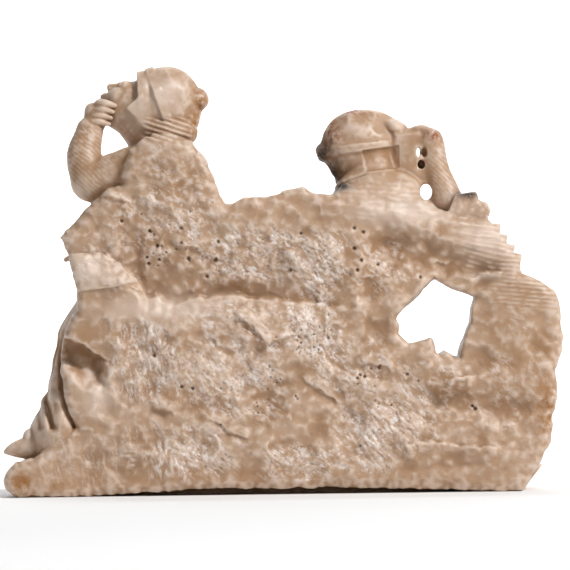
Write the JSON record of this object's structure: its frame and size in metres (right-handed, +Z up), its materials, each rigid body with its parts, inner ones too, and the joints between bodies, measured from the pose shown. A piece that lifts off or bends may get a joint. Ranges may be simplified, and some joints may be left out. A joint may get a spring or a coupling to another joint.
{
  "type": "alabaster figure group",
  "caption": "Small carved alabaster group of draped figures seated back to back on a low base, hands raised to their faces, with a rough unworked back.",
  "frame": {"origin": "middle of the underside, on the surface it stands on", "axes": "+Z up, +X from the upward-looking figure to the one with its hand before its face, +Y towards the carved front, -Y towards the rough back"},
  "size_m": [0.1246, 0.0362, 0.0956],
  "materials": {
    "alabaster": "matt, worn, faintly waxy"
  },
  "bodies": {
    "root": {"figure_group": "alabaster"}
  },
  "joints": []
}
